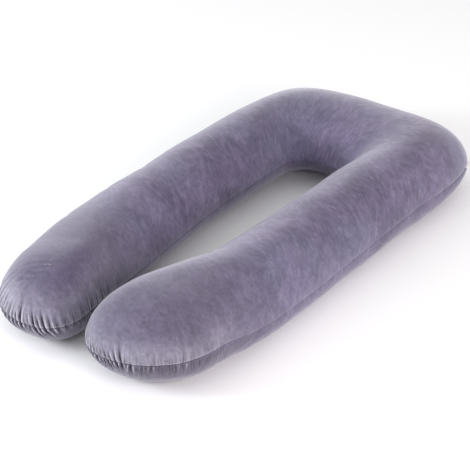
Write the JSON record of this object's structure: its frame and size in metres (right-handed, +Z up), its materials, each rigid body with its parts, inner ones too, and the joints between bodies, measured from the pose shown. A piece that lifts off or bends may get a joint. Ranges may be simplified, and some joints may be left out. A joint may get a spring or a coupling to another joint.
{
  "type": "u-shaped pregnancy pillow",
  "caption": "Long filled cushion bent into a U, with a closed head end, two soft legs and a slot to lie in.",
  "frame": {"origin": "under the middle of the bounding box, on the surface that the pillow lies on", "axes": "+Z up, +Y from the open leg ends towards the closed head end, +X towards the wider leg"},
  "size_m": [0.7382, 1.4628, 0.22],
  "materials": {
    "velvet": "short-pile polyester velvet, grey lavender, soft sheen",
    "label_satin": "white woven satin ribbon, blank"
  },
  "bodies": {
    "root": {"pillow_body": "velvet", "side_label": "label_satin"}
  },
  "joints": []
}
